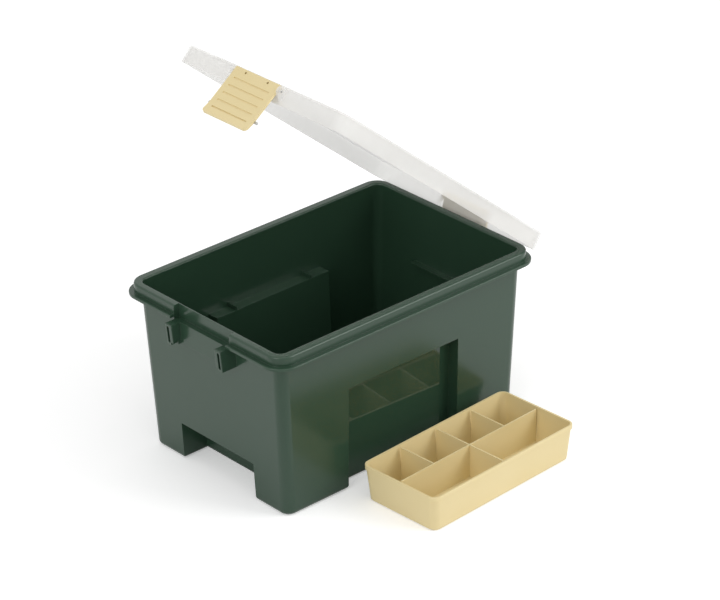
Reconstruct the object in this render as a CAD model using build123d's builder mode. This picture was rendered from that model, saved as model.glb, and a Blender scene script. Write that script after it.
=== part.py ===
from build123d import *
from math import cos, radians, sin, tan
import os

os.makedirs("parts", exist_ok=True)

# Everything is in millimetres. The origin is the middle of the tub's underside, +X points along
# the box to the end that the lid is hinged at, +Y to the back and +Z up.

# The tub's rim: a channel turned over the wall, with an outer collar and a thin flange below it
collar_length = 380.0
collar_width = 261.0
collar_radius = 20.0
tub_height = 209.3
collar_band = 11.1
collar_wall = 2.5
rim_round = 2.6
rim_inner_round = 2.2
flange_thickness = 3.1
flange_reach = 5.9
flange_round = 1.0

# The tub's walls and floor
wall = 2.5
floor_thickness = 2.6
wall_inset_x = 8.0
wall_inset_y = 9.1
draft_x = 2.74
draft_y = 1.67
wall_radius = 12.2
floor_round = 3.0

# The shallow recesses of the front and back walls, whose tops carry the trays inside
side_recess_length = 165.2
side_recess_depth = 14.8
side_recess_drop = 79.5

# The hand recesses low in the two end walls
grip_length = 124.4
grip_depth = 33.3
grip_height = 47.5

# The tray rests inside the tub
shelf_length = 104.0
shelf_depth = 8.0
rest_rib_thickness = 2.0
rest_rib_height = 5.0

# The keeper block under the rim at each end, with the two lugs that a latch hooks under
keeper_drop = 17.1
keeper_height = 26.2
lug_clearance = 0.5
lug_width = 10.4
lug_reach = 13.2
lug_draft = 5.3
lug_round = 0.8
slot_width = 3.6
slot_depth = 9.0
slot_height = 21.0
slot_from_side = 2.2
catch_width = 4.0
catch_lip = 1.0
web = 2.5

# The lid, which stands out over the collar by its reach along the box and across it
lid_reach_x = 4.05
lid_reach_y = 3.2
lid_radius = 17.0
lid_wall = 2.0
lid_height = 20.9
lid_lean = 0.8
lid_round = 2.0
lid_gap = 0.3
panel_margin = 23.0
panel_rise = 2.2
panel_radius = 12.0
ear_thickness = 3.0
ear_radius = 5.6
ear_foot = 2.5
ear_arc_from = -60.0
ear_arc_size = 150.0

# The latches, their hinge pins and their catch rods
latch_width = 72.2
latch_thickness = 3.0
latch_above_pin = 5.0
latch_flat = 46.0
latch_length = 63.4
latch_flare = 2.6
latch_corner = 4.5
latch_tilt = 5.0
pin_to_rod = 44.0
pin_out = 5.4
pin_up = 13.9
pin_diameter = 3.0
rod_diameter = 3.2
rod_overhang = 3.9
rod_chamfer = 0.4
barrel_diameter = 7.0
boss_diameter = 6.4
boss_width = 4.0
boss_spread = 29.0
groove_count = 5
groove_pitch = 9.95
groove_width = 1.8
groove_depth = 0.8
groove_margin = 7.4
groove_start = 8.6
rib_depth = 1.2
window_diameter = 3.0
window_spread = 18.0
window_up = 1.3

# The running fits and the ordinary gaps
fit = 0.05
gap = 0.3

# The loose tray
tray_length = 228.8
tray_width = 112.5
tray_height = 44.9
tray_radius = 9.0
tray_wall = 1.7
tray_floor = 1.8
tray_lean = 3.6
tray_band_height = 5.0
tray_band_step = 0.9
tray_rim_round = 0.6
tray_base_round = 2.0
divider_thickness = 1.6
divider_drop = 1.6
divider_pitch = 56.8

# How the box stands in the photograph
lid_open = 39.7
hinge_swing = 12.7
latch_open = 14.1
tray_x = 31.1
tray_y = -191.5
tray_turn = 2.86

# Heights and places that follow from the sizes above
flange_top = tub_height - collar_band
flange_bottom = flange_top - flange_thickness
base_round = floor_round + wall
half_collar = collar_length / 2
side_recess_height = tub_height - side_recess_drop
shelf_top = side_recess_height + wall
keeper_top = tub_height - keeper_drop
keeper_bottom = keeper_top - keeper_height
lug_gap = latch_width + 2 * lug_clearance
lug_outside = lug_gap / 2 + lug_width
lug_front = half_collar + lug_reach
lid_length = collar_length + 2 * lid_reach_x
lid_width = collar_width + 2 * lid_reach_y
lid_bottom = flange_top + lid_gap
pin_x = lid_length / 2 + pin_out
pin_z = lid_bottom + pin_up
rod_x = pin_x - pin_to_rod * sin(radians(latch_tilt))
rod_z = pin_z - pin_to_rod * cos(radians(latch_tilt))
rod_length = latch_width + 2 * rod_overhang
ear_inside = latch_width / 2 + gap
pin_length = 2 * (ear_inside + ear_thickness)


def wall_half_x(height):
    """Half the tub's outside length at a height, under the collar."""
    return half_collar - wall_inset_x - (flange_bottom - height) * tan(radians(draft_x))


def wall_half_y(height):
    """Half the tub's outside width at a height, under the collar."""
    return collar_width / 2 - wall_inset_y - (flange_bottom - height) * tan(radians(draft_y))


def tapered_block(bottom, top, inset, radius):
    """The solid inside the tub's drafted outline, from one height to another."""
    with BuildPart() as block:
        for height in (bottom, top):
            with BuildSketch(Plane.XY.offset(height)):
                RectangleRounded(2 * (wall_half_x(height) - inset), 2 * (wall_half_y(height) - inset), radius)
        loft()
    return block.part


def side_recesses(grow):
    """The front and back recesses as solids, grown on every side by the wall for the inside."""
    top = side_recess_height + grow
    foot = wall_half_y(0) - side_recess_depth - grow
    head = wall_half_y(side_recess_height) - side_recess_depth - grow
    outside = collar_width / 2
    with BuildPart() as recess:
        with BuildSketch(Plane.YZ):
            with BuildLine():
                Polyline((-foot, 0), (-head, top), (-outside, top), (-outside, 0), close=True)
            make_face()
        extrude(amount=side_recess_length / 2 + grow, both=True)
        mirror(about=Plane.XZ)
    return recess.part


def grip_recesses(grow):
    """The two hand recesses as solids, grown in the same way."""
    inside = wall_half_x(0) - grip_depth - grow
    with BuildPart() as recess:
        with BuildSketch(Plane.XY):
            with Locations(((half_collar + inside) / 2, 0)):
                Rectangle(half_collar - inside, grip_length + 2 * grow)
        extrude(amount=grip_height + grow)
        mirror(about=Plane.YZ)
    return recess.part


def keeper_blocks():
    """The blocks under the rim at both ends: an apron between two lugs."""
    foot_front = lug_front - (keeper_top - keeper_bottom) * tan(radians(lug_draft))
    root = wall_half_x(keeper_bottom) - wall / 2
    with BuildPart() as keeper:
        # the apron, hollow from below
        with BuildSketch(Plane.XY.offset(keeper_bottom)):
            with Locations(((root + half_collar) / 2, 0)):
                Rectangle(half_collar - root, 2 * lug_outside)
        extrude(amount=keeper_top - keeper_bottom)
        with BuildSketch(Plane.XY.offset(keeper_bottom)):
            hollow_length = half_collar - web - wall_half_x(keeper_top)
            with Locations((half_collar - web - hollow_length / 2, 0)):
                Rectangle(hollow_length, lug_gap - 2 * web)
        extrude(amount=keeper_top - web - keeper_bottom, mode=Mode.SUBTRACT)
        # the lugs, whose fronts lean in towards the foot
        with BuildSketch(Plane.XZ.offset(-lug_outside)):
            with BuildLine():
                Polyline((root, keeper_bottom), (foot_front, keeper_bottom), (lug_front, keeper_top),
                         (root, keeper_top), close=True)
            make_face()
        extrude(amount=lug_width)
        mirror(about=Plane.XZ)
        fronts = keeper.faces().filter_by(lambda face: face.center().X > foot_front - lug_round)
        fillet(fronts.edges(), lug_round)
        # the slot that keeps each lug's wall even
        for side in (-1, 1):
            with BuildSketch(Plane.YZ.offset(lug_front - slot_depth)):
                with Locations((side * (lug_outside - slot_from_side - slot_width / 2),
                                (keeper_top + keeper_bottom) / 2)):
                    SlotOverall(slot_height, slot_width, rotation=90)
            extrude(amount=2 * slot_depth, mode=Mode.SUBTRACT)
            # the step in its inner corner: a seat over the catch rod, with a small lip in front
            with BuildSketch(Plane.XZ.offset(-side * (lug_gap + catch_width) / 2)):
                seat = rod_diameter / 2 + fit
                beyond = lug_front + web
                lip_z = rod_z + seat - catch_lip
                with BuildLine():
                    over = CenterArc((rod_x, rod_z), seat, 0, 180)
                    Polyline(over @ 1, (rod_x - seat, keeper_bottom - web), (beyond, keeper_bottom - web),
                             (beyond, lip_z), (rod_x + seat, lip_z), over @ 0)
                make_face()
            extrude(amount=catch_width / 2, both=True, mode=Mode.SUBTRACT)
        mirror(about=Plane.YZ)
    return keeper.part


def rim_notches():
    """The gaps above the keepers: through the rim at the latch end, through the flange at the hinge end."""
    with BuildPart() as notch:
        for end, inside in ((-1, wall_half_x(tub_height)), (1, half_collar)):
            with BuildSketch(Plane.XY.offset(keeper_top)):
                with Locations((end * (inside + half_collar / 2), 0)):
                    Rectangle(half_collar, 2 * lug_outside)
            extrude(amount=tub_height)
    return notch.part


# The tub's hollow inside is one solid, taken out of the outer shape in one cut
cavity_radius = wall_radius - wall
with BuildPart() as cavity:
    add(tapered_block(floor_thickness, tub_height + wall, wall, cavity_radius))
    add(side_recesses(wall), mode=Mode.SUBTRACT)
    add(grip_recesses(wall), mode=Mode.SUBTRACT)
    fillet(cavity.faces().sort_by(Axis.Z)[0].edges(), floor_round)

# The tub: one moulding with its rim, recesses, keepers and tray rests
with BuildPart() as tub:
    add(tapered_block(0, tub_height, 0, wall_radius))
    # the collar hangs down outside the wall, and the flange stands out at its foot
    with BuildSketch(Plane.XY.offset(flange_bottom)):
        RectangleRounded(collar_length, collar_width, collar_radius)
        RectangleRounded(collar_length - 2 * collar_wall, collar_width - 2 * collar_wall,
                         collar_radius - collar_wall, mode=Mode.SUBTRACT)
    extrude(amount=tub_height - flange_bottom)
    with BuildSketch(Plane.XY.offset(tub_height - collar_wall)):
        RectangleRounded(collar_length, collar_width, collar_radius)
    extrude(amount=collar_wall)
    fillet(tub.faces().sort_by(Axis.Z)[-1].edges(), rim_round)
    with BuildSketch(Plane.XY.offset(flange_bottom)):
        RectangleRounded(collar_length + 2 * flange_reach, collar_width + 2 * flange_reach,
                         collar_radius + flange_reach)
        RectangleRounded(collar_length - 2 * collar_wall, collar_width - 2 * collar_wall,
                         collar_radius - collar_wall, mode=Mode.SUBTRACT)
    extrude(amount=flange_thickness)
    outer_edges = tub.edges().filter_by(lambda edge: abs(edge.center().X) > half_collar + flange_reach / 2
                                        or abs(edge.center().Y) > collar_width / 2 + flange_reach / 2)
    fillet(outer_edges.group_by(Axis.Z)[-1], flange_round)
    # the rim's channel is closed on both sides of the gap at the latch end
    root = wall_half_x(keeper_top) - wall / 2
    with BuildSketch(Plane.XY.offset(keeper_top - web)):
        with Locations((-(root + half_collar) / 2, 0)):
            Rectangle(half_collar - root, 2 * (lug_outside + web))
    extrude(amount=tub_height - collar_wall - keeper_top + web)
    add(keeper_blocks())
    add(rim_notches(), mode=Mode.SUBTRACT)
    add(side_recesses(0), mode=Mode.SUBTRACT)
    add(grip_recesses(0), mode=Mode.SUBTRACT)
    fillet(tub.faces().sort_by(Axis.Z)[0].edges(), base_round)
    add(cavity.part, mode=Mode.SUBTRACT)
    fillet(tub.faces().sort_by(Axis.Z)[-1].inner_wires()[0].edges(), rim_inner_round)
    # a shelf on each end wall, level with the ledges of the side recesses
    shelf_outside = wall_half_x(shelf_top) - wall / 2
    shelf_inside = wall_half_x(shelf_top) - wall - shelf_depth
    with BuildSketch(Plane.XY.offset(shelf_top - wall)):
        with Locations(((shelf_inside + shelf_outside) / 2, 0), (-(shelf_inside + shelf_outside) / 2, 0)):
            Rectangle(shelf_outside - shelf_inside, shelf_length)
    extrude(amount=wall)
    # low ribs across the ledges keep the trays apart
    rib_outside = wall_half_y(shelf_top) - wall / 2
    rib_inside = rib_outside + wall / 2 - side_recess_depth - wall
    rib_places = [(x * tray_width / 2, y * (rib_inside + rib_outside) / 2) for x in (-1, 1) for y in (-1, 1)]
    with BuildSketch(Plane.XY.offset(shelf_top - wall / 2)):
        with Locations(*rib_places):
            Rectangle(rest_rib_thickness, rib_outside - rib_inside)
    extrude(amount=rest_rib_height + wall / 2)
tub.part.label = "tub"
export_step(tub.part, "parts/tub.step")


def at_angle(degrees_out, distance):
    """X and Z of a point at a distance above a pivot, leaning out towards +X."""
    return distance * sin(radians(degrees_out)), distance * cos(radians(degrees_out))


# The right latch stands on its catch rod in the keeper, and the lid hangs on the latch's hinge pin
lean_x, lean_z = at_angle(latch_tilt + hinge_swing, pin_to_rod)
hinge_x = rod_x + lean_x
hinge_z = rod_z + lean_z

lid_along = Vector(cos(radians(lid_open)), 0, -sin(radians(lid_open)))
lid_up = Vector(sin(radians(lid_open)), 0, cos(radians(lid_open)))
lid_origin = Vector(hinge_x, 0, hinge_z) - lid_along * pin_x - lid_up * pin_up
lid_plane = Plane(origin=lid_origin, x_dir=lid_along, z_dir=lid_up)
free_pin = lid_origin - lid_along * pin_x + lid_up * pin_up

with BuildPart() as lid:
    # the skirt and the raised middle, leaning in a little as they rise
    for height, shrink in ((0, 0), (lid_height, lid_lean)):
        with BuildSketch(lid_plane.offset(height)):
            RectangleRounded(lid_length - 2 * shrink, lid_width - 2 * shrink, lid_radius)
    loft()
    fillet(lid.faces().sort_by(Axis(lid_origin, lid_up))[-1].edges(), lid_round)
    for rise in (-lid_wall / 2, panel_rise):
        with BuildSketch(lid_plane.offset(lid_height + rise)):
            inset = panel_margin + rise
            RectangleRounded(lid_length - 2 * inset, lid_width - 2 * inset, panel_radius)
    loft()
    # the ears that carry the hinge pins, two at each end
    for end in (-1, 1):
        for side in (-1, 1):
            ear_y = side * (ear_inside + ear_thickness / 2)
            ear_center = lid_plane.from_local_coords(Vector(0, ear_y, 0))
            ear_plane = Plane(origin=ear_center, x_dir=lid_along * end, z_dir=Vector(0, -1, 0) * end)
            with BuildSketch(ear_plane):
                with BuildLine():
                    foot = (lid_length / 2 - lid_wall / 2, ear_foot)
                    head = (lid_length / 2 - lid_wall, lid_height - lid_round)
                    tip = CenterArc((pin_x, pin_up), ear_radius, ear_arc_from, ear_arc_size)
                    Line(head, tip @ 1)
                    Line(head, foot)
                    Line(foot, tip @ 0)
                make_face()
                with Locations((pin_x, pin_up)):
                    Circle(pin_diameter / 2 + fit, mode=Mode.SUBTRACT)
            extrude(amount=ear_thickness / 2, both=True)
    # the hollow underside
    for height, shrink in ((0, 0), (lid_height - lid_wall, lid_lean)):
        with BuildSketch(lid_plane.offset(height)):
            inset = lid_wall + shrink
            RectangleRounded(lid_length - 2 * inset, lid_width - 2 * inset, lid_radius - lid_wall)
    loft(mode=Mode.SUBTRACT)
    for rise in (-lid_wall / 2, panel_rise):
        with BuildSketch(lid_plane.offset(lid_height - lid_wall + rise)):
            inset = panel_margin + lid_wall + rise
            RectangleRounded(lid_length - 2 * inset, lid_width - 2 * inset, panel_radius)
    loft(mode=Mode.SUBTRACT)
lid.part.label = "lid"
export_step(lid.part, "parts/lid.step")


def make_latch(place):
    """A latch on a plane at its hinge pin: X points out of the box and Z up along the latch."""
    profile = Plane(origin=place.origin, x_dir=place.x_dir, z_dir=-place.y_dir)
    outside = barrel_diameter / 2
    middle = outside - latch_thickness / 2
    face = Plane(origin=place.origin + place.x_dir * outside, x_dir=place.y_dir, z_dir=place.x_dir)
    along = Axis(place.origin, place.z_dir)
    with BuildPart() as latch:
        # the plate, curling outwards at the finger edge
        with BuildSketch(profile):
            with BuildLine():
                flat = Line((middle, latch_above_pin), (middle, latch_above_pin - latch_flat))
                TangentArc(flat @ 1, (middle + latch_flare, latch_above_pin - latch_length), tangent=flat % 1)
            trace(line_width=latch_thickness)
        extrude(amount=latch_width / 2, both=True)
        finger_edge = latch.faces().sort_by(along)[0].edges()
        fillet(finger_edge.sort_by(SortBy.LENGTH)[:2], latch_corner)
        # the barrel, and the ribs that hold the catch rod
        with BuildSketch(profile):
            Circle(barrel_diameter / 2)
        extrude(amount=latch_width / 2, both=True)
        for y in (-boss_spread, 0, boss_spread):
            with BuildSketch(profile.offset(-y)):
                with Locations((0, -pin_to_rod)):
                    Circle(boss_diameter / 2)
                with Locations((middle / 2, -pin_to_rod)):
                    Rectangle(middle, boss_diameter)
                with Locations(((middle - rib_depth) / 2, -pin_to_rod / 2)):
                    Rectangle(middle + rib_depth, pin_to_rod)
            extrude(amount=boss_width / 2, both=True)
        with BuildSketch(profile):
            Circle(pin_diameter / 2 + fit)
            with Locations((0, -pin_to_rod)):
                Circle(rod_diameter / 2 + fit)
        extrude(amount=latch_width, both=True, mode=Mode.SUBTRACT)
        # the finger grooves, and the two windows over the hinge pin
        with BuildSketch(face.offset(latch_flare)):
            for row in range(groove_count):
                with Locations((0, -groove_start - row * groove_pitch)):
                    SlotOverall(latch_width - 2 * groove_margin, groove_width)
        extrude(amount=-latch_flare - groove_depth, mode=Mode.SUBTRACT)
        with BuildSketch(face):
            with Locations((-window_spread, window_up), (window_spread, window_up)):
                Circle(window_diameter / 2)
        extrude(amount=-outside, mode=Mode.SUBTRACT)
    return latch.part


def make_rod(center, length, diameter):
    """A plain round rod along Y, with its ends eased."""
    with BuildPart() as rod:
        with BuildSketch(Plane(origin=center, x_dir=(1, 0, 0), z_dir=(0, 1, 0))):
            Circle(diameter / 2)
        extrude(amount=length / 2, both=True)
        chamfer(rod.edges().filter_by(GeomType.CIRCLE), rod_chamfer)
    return rod.part


# The two latches are alike: the right one leans out on its catch rod, and the left one hangs open
right_lean = radians(latch_tilt + hinge_swing)
right_place = Plane(origin=(hinge_x, 0, hinge_z), x_dir=(cos(right_lean), 0, -sin(right_lean)),
                    z_dir=(sin(right_lean), 0, cos(right_lean)))
left_lean = radians(latch_open)
left_out = lid_along * -cos(left_lean) + lid_up * sin(left_lean)
left_up = lid_up * cos(left_lean) + lid_along * sin(left_lean)
left_place = Plane(origin=free_pin, x_dir=left_out, z_dir=left_up)

for name, place in (("left", left_place), ("right", right_place)):
    latch = make_latch(place)
    latch.label = f"{name}_latch"
    export_step(latch, f"parts/{name}_latch.step")
    pin = make_rod(place.origin, pin_length, pin_diameter)
    pin.label = f"{name}_hinge_pin"
    export_step(pin, f"parts/{name}_hinge_pin.step")
    rod = make_rod(place.origin - place.z_dir * pin_to_rod, rod_length, rod_diameter)
    rod.label = f"{name}_catch_rod"
    export_step(rod, f"parts/{name}_catch_rod.step")

# The loose tray stands on the ground in front of the box
tray_plane = Plane(origin=(tray_x, tray_y, 0), x_dir=(cos(radians(tray_turn)), sin(radians(tray_turn)), 0),
                   z_dir=(0, 0, 1))
band_bottom = tray_height - tray_band_height
tray_body_length = tray_length - 2 * tray_band_step
tray_body_width = tray_width - 2 * tray_band_step
with BuildPart() as tray:
    for height, shrink in ((0, tray_lean), (tray_height, 0)):
        with BuildSketch(tray_plane.offset(height)):
            RectangleRounded(tray_body_length - 2 * shrink, tray_body_width - 2 * shrink, tray_radius)
    loft()
    fillet(tray.faces().sort_by(Axis.Z)[0].edges(), tray_base_round)
    # the band round the rim
    with BuildSketch(tray_plane.offset(band_bottom)):
        RectangleRounded(tray_length, tray_width, tray_radius + tray_band_step)
    extrude(amount=tray_band_height)
    fillet(tray.faces().sort_by(Axis.Z)[-1].edges(), tray_rim_round)
    # the hollow, with its walls leaning as the outside does
    slope = tray_lean / tray_height
    for height in (tray_floor, tray_height):
        with BuildSketch(tray_plane.offset(height)):
            inset = tray_wall + slope * (tray_height - height)
            hollow_radius = tray_radius - tray_wall
            RectangleRounded(tray_body_length - 2 * inset, tray_body_width - 2 * inset, hollow_radius)
    loft(mode=Mode.SUBTRACT)
    # one divider along the tray, three behind it and one in front
    divider_height = tray_height - divider_drop - tray_floor / 2
    cross_length = tray_body_width / 2 - tray_wall / 2 - slope * tray_height
    with BuildSketch(tray_plane.offset(tray_floor / 2)):
        Rectangle(tray_body_length - tray_wall - 2 * tray_lean, divider_thickness)
        for column in (-1, 0, 1):
            with Locations((column * divider_pitch, cross_length / 2)):
                Rectangle(divider_thickness, cross_length)
        with Locations((0, -cross_length / 2)):
            Rectangle(divider_thickness, cross_length)
    extrude(amount=divider_height)
tray.part.label = "tray"
export_step(tray.part, "parts/tray.step")
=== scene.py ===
from math import cos, radians, sin, tan

import bpy
from mathutils import Matrix, Vector

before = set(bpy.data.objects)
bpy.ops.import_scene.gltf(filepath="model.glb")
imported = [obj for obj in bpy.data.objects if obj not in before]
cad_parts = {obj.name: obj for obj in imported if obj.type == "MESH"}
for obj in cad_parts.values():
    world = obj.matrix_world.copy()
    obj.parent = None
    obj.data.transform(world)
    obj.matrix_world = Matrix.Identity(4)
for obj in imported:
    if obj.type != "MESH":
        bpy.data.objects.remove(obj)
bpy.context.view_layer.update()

# The camera stands where the photograph was taken from, in metres and degrees.
CAMERA_AZIMUTH = 41.535
CAMERA_ELEVATION = 27.913
CAMERA_ROLL = -1.155
CAMERA_DISTANCE = 3.85714
CAMERA_ASIDE = 0.02865
CAMERA_ABOVE = 0.14472
LENS = 167.44
SENSOR = 36.0
CLIP_END = 50.0

# The lamps: name, place, width and power. All three look at a point inside the tub.
LAMPS = (("front_lamp", (1.5, -2.1, 1.7), 1.6, 32.0),
         ("side_lamp", (-2.3, -0.6, 1.5), 1.4, 15.0),
         ("top_lamp", (-0.1, -0.6, 2.6), 1.8, 7.0))
LAMP_AIM = (0.0, 0.0, 0.15)

# The surround's light, and the floor. The floor looks whiter than its shading, by its lift, and
# fades into the white backdrop. In the object's gloss it is dimmer close round the object, and
# again far out in front of the left corner. Distances are in metres, from the middle.
SURROUND_LIGHT = 0.63
FLOOR_SIZE = 30.0
FLOOR_GAP = 0.0005
FLOOR_PAINT = 0.90
FLOOR_LIFT = 0.33
BACKDROP_NEAR = 0.8
BACKDROP_FAR = 2.5
GLOSS_NEAR = 0.14
GLOSS_AWAY = 0.24
GLOSS_SIDE = (-0.663, -0.748, 0.0)
GLOSS_BRIGHT = 0.15
GLOSS_DIM = 0.45

# The polished panel at the back of the tub's front and back recesses, in metres and degrees.
PANEL_LENGTH = 0.1652
PANEL_TOP = 0.1298
PANEL_FOOT = 0.1009
PANEL_LEAN = 1.67
PANEL_SKIN = 0.0012

# The two colours that each material varies between.
GREENS = (0.022, 0.054, 0.031), (0.029, 0.064, 0.039)
FROSTS = (0.88, 0.865, 0.835), (0.93, 0.92, 0.895)
CREAMS = (0.76, 0.625, 0.325), (0.82, 0.69, 0.395)
STEELS = (0.42, 0.42, 0.41), (0.60, 0.60, 0.59)


class Wire:
    """A number in a node tree. Arithmetic on it adds Math nodes."""

    def __init__(self, nodes, socket):
        self.nodes = nodes
        self.socket = socket

    def math(self, operation, *values):
        made = self.nodes.node("ShaderNodeMath", {"operation": operation}, dict(enumerate(values)))
        return Wire(self.nodes, made.outputs[0])

    def __add__(self, other):
        return self.math("ADD", self, other)

    def __radd__(self, other):
        return self.math("ADD", other, self)

    def __sub__(self, other):
        return self.math("SUBTRACT", self, other)

    def __rsub__(self, other):
        return self.math("SUBTRACT", other, self)

    def __mul__(self, other):
        return self.math("MULTIPLY", self, other)

    def __rmul__(self, other):
        return self.math("MULTIPLY", other, self)

    def __abs__(self):
        return self.math("ABSOLUTE", self)

    def below(self, limit):
        """1 where the number is under the limit, and 0 elsewhere."""
        return self.math("LESS_THAN", self, limit)

    def either(self, other):
        return self.math("MAXIMUM", self, other)


class Nodes:
    """A node tree, with one way to add a node to it."""

    def __init__(self, tree):
        self.tree = tree

    def node(self, kind, settings=None, inputs=None):
        made = self.tree.nodes.new(kind)
        for setting, value in (settings or {}).items():
            setattr(made, setting, value)
        for socket, value in (inputs or {}).items():
            self.connect(value, made.inputs[socket])
        return made

    def connect(self, value, socket):
        if isinstance(value, Wire):
            value = value.socket
        if isinstance(value, bpy.types.NodeSocket):
            self.tree.links.new(value, socket)
        else:
            socket.default_value = value

    def between(self, low, high, amount):
        """A colour that goes from low to high as the amount goes from 0 to 1."""
        made = self.node("ShaderNodeMix", {"data_type": "RGBA"}, {"Factor": amount})
        for socket in made.inputs:
            if socket.type == "RGBA":
                socket.default_value = (*(low if socket.name == "A" else high), 1.0)
        return [socket for socket in made.outputs if socket.type == "RGBA"][0]

    def ramp(self, value, low, high):
        """A number that goes from 0 to 1 as the value goes from low to high."""
        made = self.node("ShaderNodeMapRange", None, {"Value": value, "From Min": low, "From Max": high})
        return Wire(self, made.outputs[0])

    def rays(self):
        """Which kind of ray arrives: camera, glossy and transmission, each 1 or 0."""
        path = self.node("ShaderNodeLightPath")
        return [Wire(self, path.outputs["Is " + kind + " Ray"])
                for kind in ("Camera", "Glossy", "Transmission")]


class Finish(Nodes):
    """A procedural material, built one node at a time round its Principled shader."""

    def __init__(self, name, constants):
        self.material = bpy.data.materials.new(name)
        self.material.use_nodes = True
        super().__init__(self.material.node_tree)
        self.shader = self.tree.nodes["Principled BSDF"]
        for socket, value in constants.items():
            self.shader.inputs[socket].default_value = value
        self.place = self.node("ShaderNodeTexCoord").outputs["Object"]

    def along(self, axis):
        """The place on the piece along one axis, in metres."""
        return Wire(self, self.node("ShaderNodeSeparateXYZ", None, {"Vector": self.place}).outputs[axis])

    def noise(self, scale, detail=2.0, stretch=(1.0, 1.0, 1.0)):
        """Noise from 0 to 1 over the piece, with features of about 1 / scale metres."""
        mapping = self.node("ShaderNodeMapping", None, {"Vector": self.place, "Scale": stretch})
        made = self.node("ShaderNodeTexNoise", None,
                         {"Vector": mapping.outputs[0], "Scale": scale, "Detail": detail})
        return Wire(self, made.outputs["Fac"])

    def relief(self, height, depth, edge_radius=0.0):
        """Small relief on the surface, over edges that may be eased by a radius."""
        bump = self.node("ShaderNodeBump", None, {"Height": height, "Distance": depth, "Strength": 1.0})
        if edge_radius:
            eased = self.node("ShaderNodeBevel", {"samples": 4}, {"Radius": edge_radius})
            self.connect(eased.outputs[0], bump.inputs["Normal"])
        self.drive("Normal", bump.outputs[0])

    def drive(self, socket, value):
        self.connect(value, self.shader.inputs[socket])


def green_moulding():
    """Glossy dark green plastic with faint flow marks and waves, polished in the recess panels."""
    finish = Finish("green_moulding", {"IOR": 1.5, "Specular IOR Level": 0.45})
    flow = finish.noise(9.0, 3.0, (1.0, 1.0, 0.25))
    grain = finish.noise(900.0, 2.0)
    waves = finish.noise(14.0, 1.0)
    height = finish.along("Z")
    skin = abs(abs(finish.along("Y")) - PANEL_FOOT - height * tan(radians(PANEL_LEAN)))
    panel = (abs(finish.along("X")).below(PANEL_LENGTH / 2) * height.below(PANEL_TOP)
             * skin.below(PANEL_SKIN))
    finish.drive("Base Color", finish.between(*GREENS, flow))
    finish.drive("Roughness", 0.04 + (1.0 - panel) * (0.12 + 0.08 * flow + 0.03 * grain))
    finish.relief(grain * 0.02 + waves * (0.5 - 0.4 * panel), 0.0004, 0.0006)
    return finish.material


def frosted_moulding():
    """Milky translucent plastic, a little denser in places."""
    finish = Finish("frosted_moulding", {"IOR": 1.49, "Specular IOR Level": 0.25})
    cloud = finish.noise(12.0, 3.0)
    frost = finish.noise(1400.0, 2.0)
    finish.drive("Base Color", finish.between(*FROSTS, cloud))
    finish.drive("Alpha", 0.36 + 0.1 * cloud)
    finish.drive("Roughness", 0.32 + 0.1 * frost)
    finish.relief(finish.noise(40.0, 1.0), 0.0002)
    return finish.material


def cream_moulding():
    """Satin cream plastic, a little warmer in places."""
    finish = Finish("cream_moulding", {"IOR": 1.5, "Specular IOR Level": 0.4})
    cloud = finish.noise(16.0, 3.0)
    grain = finish.noise(1100.0, 2.0)
    finish.drive("Base Color", finish.between(*CREAMS, cloud))
    finish.drive("Roughness", 0.34 + 0.1 * grain)
    finish.relief(finish.noise(60.0, 1.0), 0.0001)
    return finish.material


def drawn_steel():
    """Plain drawn rod, with marks along its length."""
    finish = Finish("drawn_steel", {"Metallic": 1.0})
    marks = finish.noise(600.0, 3.0, (1.0, 0.03, 1.0))
    finish.drive("Base Color", finish.between(*STEELS, marks))
    finish.drive("Roughness", 0.26 + 0.16 * marks)
    finish.relief(marks, 0.00002)
    return finish.material


def dress(material, *names):
    """Gives each named piece the material in all its slots."""
    for name in names:
        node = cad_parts[name]
        if not node.material_slots:
            node.data.materials.append(material)
        for slot in node.material_slots:
            slot.material = material


def pale_floor():
    """A wide matt floor that looks white and keeps the object's shadow."""
    bpy.ops.mesh.primitive_plane_add(size=FLOOR_SIZE, location=(0.0, 0.0, -FLOOR_GAP))
    floor = bpy.context.object
    floor.name = "floor"
    pale = Finish("pale_floor", {"Base Color": (FLOOR_PAINT, FLOOR_PAINT, FLOOR_PAINT, 1.0),
                                 "Roughness": 0.8, "Specular IOR Level": 0.0, "Emission Strength": 1.0})
    camera, glossy, clear = pale.rays()
    distance = pale.node("ShaderNodeVectorMath", {"operation": "LENGTH"}, {0: pale.place}).outputs["Value"]
    away = pale.ramp(distance, GLOSS_NEAR, GLOSS_AWAY)
    backdrop = pale.ramp(distance, BACKDROP_NEAR, BACKDROP_FAR)
    aside = pale.node("ShaderNodeVectorMath", {"operation": "DOT_PRODUCT"}, {0: pale.place, 1: GLOSS_SIDE})
    bright = pale.ramp(aside.outputs["Value"], GLOSS_DIM, GLOSS_BRIGHT)
    seen = camera.either(clear).either(glossy * away * bright)
    lift = seen * (FLOOR_LIFT + (1.0 - FLOOR_LIFT) * backdrop)
    pale.drive("Emission Color", pale.between((0.0, 0.0, 0.0), (1.0, 1.0, 1.0), lift))
    floor.data.materials.append(pale.material)


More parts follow.
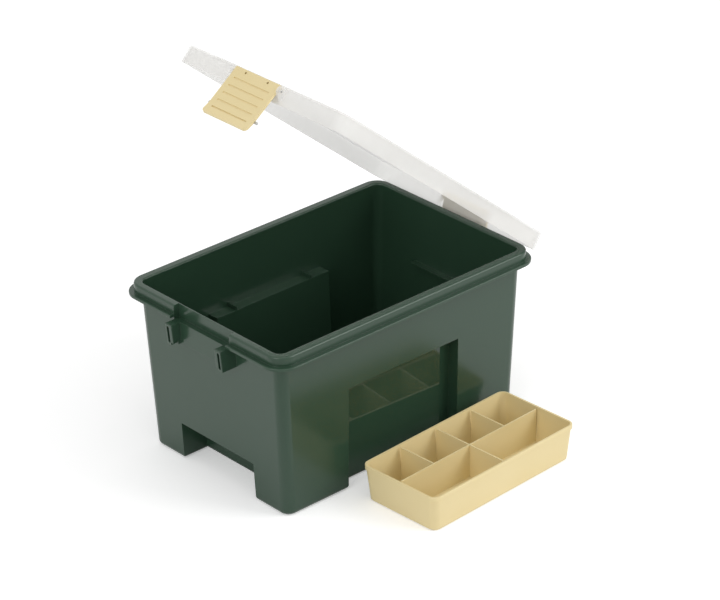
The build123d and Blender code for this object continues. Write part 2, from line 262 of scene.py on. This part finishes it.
def surround():
    """An even pale surround, which the camera and the object's gloss see as white."""
    world = bpy.data.worlds.new("surround")
    world.use_nodes = True
    bpy.context.scene.world = world
    nodes = Nodes(world.node_tree)
    camera, glossy, clear = nodes.rays()
    seen = camera.either(clear).either(glossy)
    background = world.node_tree.nodes["Background"]
    background.inputs["Color"].default_value = (1.0, 1.0, 1.0, 1.0)
    nodes.connect(SURROUND_LIGHT + (1.0 - SURROUND_LIGHT) * seen, background.inputs["Strength"])


def soft_lamps():
    """Large square lamps, turned to the tub."""
    for name, place, size, power in LAMPS:
        light = bpy.data.lights.new(name, "AREA")
        light.size = size
        light.energy = power
        lamp = bpy.data.objects.new(name, light)
        lamp.location = place
        lamp.rotation_euler = (Vector(place) - Vector(LAMP_AIM)).to_track_quat("Z", "Y").to_euler()
        bpy.context.collection.objects.link(lamp)


def photograph_camera():
    """The camera of the photograph, from its angles and its distance."""
    azimuth, elevation, roll = (radians(a) for a in (CAMERA_AZIMUTH, CAMERA_ELEVATION, CAMERA_ROLL))
    level_right = Vector((cos(azimuth), -sin(azimuth), 0.0))
    level_up = Vector((sin(azimuth) * sin(elevation), cos(azimuth) * sin(elevation), cos(elevation)))
    back = Vector((-sin(azimuth) * cos(elevation), -cos(azimuth) * cos(elevation), sin(elevation)))
    right = level_right * cos(roll) + level_up * sin(roll)
    up = level_up * cos(roll) - level_right * sin(roll)
    data = bpy.data.cameras.new("camera")
    data.lens = LENS
    data.sensor_width = SENSOR
    data.clip_end = CLIP_END
    camera = bpy.data.objects.new("camera", data)
    place = right * CAMERA_ASIDE + up * CAMERA_ABOVE + back * CAMERA_DISTANCE
    camera.matrix_world = Matrix.Translation(place) @ Matrix((right, up, back)).transposed().to_4x4()
    bpy.context.collection.objects.link(camera)
    bpy.context.scene.camera = camera


dress(green_moulding(), "tub")
dress(frosted_moulding(), "lid")
dress(cream_moulding(), "tray", "left_latch", "right_latch")
dress(drawn_steel(), "left_hinge_pin", "right_hinge_pin", "left_catch_rod", "right_catch_rod")

pale_floor()
surround()
soft_lamps()
photograph_camera()
bpy.context.scene.view_settings.view_transform = "Standard"
